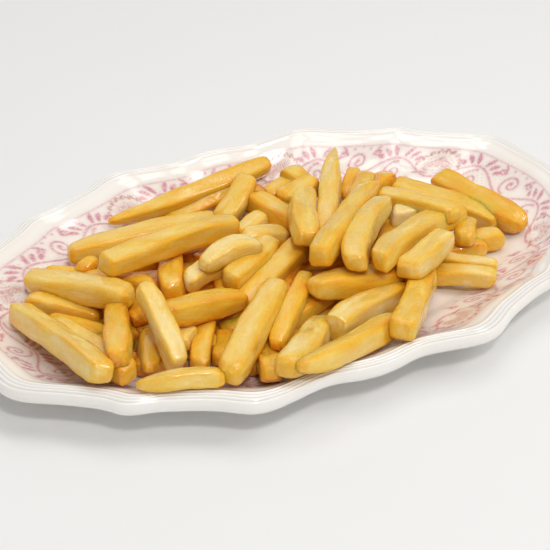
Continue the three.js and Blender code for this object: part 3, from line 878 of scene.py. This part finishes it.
def heap_of_fries(rows):
    """All the rows as one mesh: vertices, faces, brownness with painted contact shade, and grain."""
    all_points, all_faces, all_brown_and_shade, all_grain = [], [], [], []
    count = 0
    for i, row in enumerate(rows):
        points, faces, brown_and_shade, grain = fry(row, np.random.default_rng(FIRST_SEED + i))
        all_points.append(points)
        all_faces += [tuple(corner + count for corner in face) for face in faces]
        all_brown_and_shade.append(brown_and_shade)
        all_grain.append(grain)
        count += len(points)
    # painted shade: browner where other fries press close round a vertex
    brown_and_shade = np.concatenate(all_brown_and_shade) + CRUST_AND_SHADE["contact_shade"] * contact_shade(all_points)
    return np.vstack(all_points), all_faces, brown_and_shade, np.vstack(all_grain)


def depth_shade(points):
    """How far each vertex lies under the heap's top: the lower, the more painted shade browns it."""
    column = np.floor(points[:, :2] / DEPTH_SHADE_CELL).astype(int)
    tops = {}
    for key, height in zip(map(tuple, column), points[:, 2]):
        tops[key] = max(height, tops.get(key, 0))
    over = np.array([
        max(tops.get((x + i, y + j), 0) for i in (-1, 0, 1) for j in (-1, 0, 1)) for x, y in column])
    return np.clip((over - points[:, 2] - DEPTH_SHADE_DEPTHS[0]) / DEPTH_SHADE_DEPTHS[1], 0, 1)


potato = fried_potato()
showing = FAR_SIDE + RIGHT_END + MIDDLE + LEFT_END + NEAR_SIDE
points, faces, brown_and_shade, grain = heap_of_fries(showing + UNDERNEATH + tuple(buried_rows()))
# painted shade: browner the deeper a vertex lies under the heap's top
brown_and_shade = brown_and_shade + CRUST_AND_SHADE["depth_shade"] * depth_shade(points)
fries = make_piece("loose_fries", points, faces, potato, {"brown_and_shade": brown_and_shade}, {"grain": grain})
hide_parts("fries")


# ---- The core of the heap ----
# The soft middle of the heap, where broken fries lie pressed together in oil. Only dark chinks of it
# show between the fries, so it is one low lumpy mound, just clear of the glaze. Its dark amber is painted
# shade of the heap's depths over the fries' own colour.

CORE_HALF = (84.0, 41.0)
CORE_TOP = 15.5
CORE_RINGS = 24
CORE_AROUND = 96
CORE_LUMPS = 2.2
# the mound's colours: fried potato darkened by painted shade, as deep in the heap
SHADED_SCRAP_BROWN = (0.58, 0.25, 0.015)
SHADED_SCRAP_GOLD = (0.78, 0.45, 0.05)


def core_mound():
    turn = np.linspace(0, 2 * math.pi, CORE_AROUND, endpoint=False)
    floor = WELL_FLOOR + CLEAR_OF_GLAZE
    points = [(HEAP_MIDDLE[0], HEAP_MIDDLE[1], floor)]
    for ring in range(CORE_RINGS):
        slope = ring / CORE_RINGS * math.pi / 2
        for angle in turn:
            x = HEAP_MIDDLE[0] + CORE_HALF[0] * math.cos(slope) * math.cos(angle)
            y = HEAP_MIDDLE[1] + CORE_HALF[1] * math.cos(slope) * math.sin(angle)
            lump = noise.noise(Vector((x * 0.11, y * 0.11, 3.0)))
            lump += 0.5 * noise.noise(Vector((x * 0.3, y * 0.3, 9.0)))
            rise = (CORE_TOP - floor) * math.sin(slope)
            points.append((x, y, floor + max(0.0, rise + CORE_LUMPS * lump * math.sin(slope))))
    points.append((HEAP_MIDDLE[0], HEAP_MIDDLE[1], CORE_TOP))
    faces = []
    for ring in range(CORE_RINGS - 1):
        for i in range(CORE_AROUND):
            low = 1 + ring * CORE_AROUND
            after = (i + 1) % CORE_AROUND
            faces.append((low + i, low + after, low + after + CORE_AROUND, low + i + CORE_AROUND))
    last = 1 + (CORE_RINGS - 1) * CORE_AROUND
    for i in range(CORE_AROUND):
        after = (i + 1) % CORE_AROUND
        faces.append((0, 1 + after, 1 + i))
        faces.append((len(points) - 1, last + i, last + after))
    return points, faces


def shaded_scraps():
    material, nodes, links = new_material("shaded_scraps")
    shader = nodes["Principled BSDF"]
    shader.inputs["IOR"].default_value = 1.45
    ours = nodes.new("ShaderNodeTexCoord").outputs["Object"]
    patches = blotches(nodes, links, ours, 160, 0.3, 0.7)
    links.new(tint(nodes, links, patches, SHADED_SCRAP_BROWN, SHADED_SCRAP_GOLD), shader.inputs["Base Color"])
    wet = blotches(nodes, links, ours, 300, 0.3, 0.7)
    links.new(figure(nodes, links, "MULTIPLY_ADD", wet, 0.3, 0.3), shader.inputs["Roughness"])
    crumb = uneven_skin(nodes, links, ours, {"Scale": 500.0, "Detail": 4.0}, 0.7, 0.8)
    links.new(crumb, shader.inputs["Normal"])
    return material


points, faces = core_mound()
core = make_piece("heap_core", points, faces, shaded_scraps())
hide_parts("fries")


# ---- The table, the light and the camera ----
# A plain pale table under a bank of four square soft lights. A key stands to the right, a broad card
# behind and a small lamp in front, which puts the gleam on the oil, and pale walls lie all round.

TABLE_HALF = 4.0
TABLE_GREY = (0.86, 0.86, 0.86)
TABLE_SHADE = (0.845, 0.845, 0.845)


def pale_table():
    material, nodes, links = new_material("pale_table")
    shader = nodes["Principled BSDF"]
    shader.inputs["Roughness"].default_value = 0.7
    shader.inputs["Specular IOR Level"].default_value = 0.2
    ours = nodes.new("ShaderNodeTexCoord").outputs["Object"]
    soft = blotches(nodes, links, ours, 3.0, 0.2, 0.8)
    links.new(tint(nodes, links, soft, TABLE_GREY, TABLE_SHADE), shader.inputs["Base Color"])
    mesh = bpy.data.meshes.new("table")
    corners = [(-TABLE_HALF, -TABLE_HALF, 0), (TABLE_HALF, -TABLE_HALF, 0),
               (TABLE_HALF, TABLE_HALF, 0), (-TABLE_HALF, TABLE_HALF, 0)]
    mesh.from_pydata(corners, [], [(0, 1, 2, 3)])
    table = bpy.data.objects.new("table", mesh)
    table.data.materials.append(material)
    bpy.context.scene.collection.objects.link(table)


pale_table()

BANK_MIDDLE = (0.21, 0.05, 1.3)
PANEL_SIDE = 0.34
PANEL_GAP = 0.08
PANEL_POWER = 1.15
KEY_PLACE = (0.9, -0.63, 1.3)
KEY_SIDE = 0.4
KEY_POWER = 4.8
CARD_PLACE = (0.1, 1.5, 1.05)
CARD_SIDE = 1.3
CARD_POWER = 2.8
FRONT_PLACE = (-0.2, -0.85, 1.3)
FRONT_SIDE = 0.15
FRONT_POWER = 6.3
LAMP_COLOUR = (1.0, 0.985, 0.96)
WALL_COLOUR = (1.0, 0.99, 0.98)
WALL_STRENGTH = 0.42


def soft_light(name, place, side, power, aim):
    light = bpy.data.lights.new(name, "AREA")
    light.shape = "SQUARE"
    light.size = side
    light.energy = power
    light.color = LAMP_COLOUR
    lamp = bpy.data.objects.new(name, light)
    lamp.location = place
    lamp.rotation_euler = (Vector(aim) - Vector(place)).to_track_quat("-Z", "Y").to_euler()
    bpy.context.scene.collection.objects.link(lamp)


for i in (-0.5, 0.5):
    for j in (-0.5, 0.5):
        step = PANEL_SIDE + PANEL_GAP
        place = (BANK_MIDDLE[0] + i * step, BANK_MIDDLE[1] + j * step, BANK_MIDDLE[2])
        soft_light("ceiling_panel", place, PANEL_SIDE, PANEL_POWER, (place[0], place[1], 0))
soft_light("right_hand_key", KEY_PLACE, KEY_SIDE, KEY_POWER, (0, 0, 0))
soft_light("back_card", CARD_PLACE, CARD_SIDE, CARD_POWER, (0, 0, 0))
soft_light("front_fill", FRONT_PLACE, FRONT_SIDE, FRONT_POWER, (0, 0, 0))

world = bpy.data.worlds.new("pale_room")
world.use_nodes = True
walls = world.node_tree.nodes["Background"]
walls.inputs["Color"].default_value = (*WALL_COLOUR, 1.0)
walls.inputs["Strength"].default_value = WALL_STRENGTH
bpy.context.scene.world = world
bpy.context.scene.view_settings.view_transform = "Standard"

HEADING = math.radians(24.9)        # from straight across the platter, towards its right end
DOWN = math.radians(37.0)
DISTANCE = 0.5783
AIM = Vector((-0.0140, -0.0194, 0.025))
LENS = 85.09                        # focal length, and the width of what it falls on
FRAME_WIDTH = 36.0
look = Vector((math.sin(HEADING) * math.cos(DOWN), math.cos(HEADING) * math.cos(DOWN), -math.sin(DOWN)))
lens = bpy.data.cameras.new("camera")
lens.lens = LENS
lens.sensor_width = FRAME_WIDTH
camera = bpy.data.objects.new("camera", lens)
camera.location = AIM - DISTANCE * look
camera.rotation_euler = look.to_track_quat("-Z", "Y").to_euler()
bpy.context.scene.collection.objects.link(camera)
bpy.context.scene.camera = camera
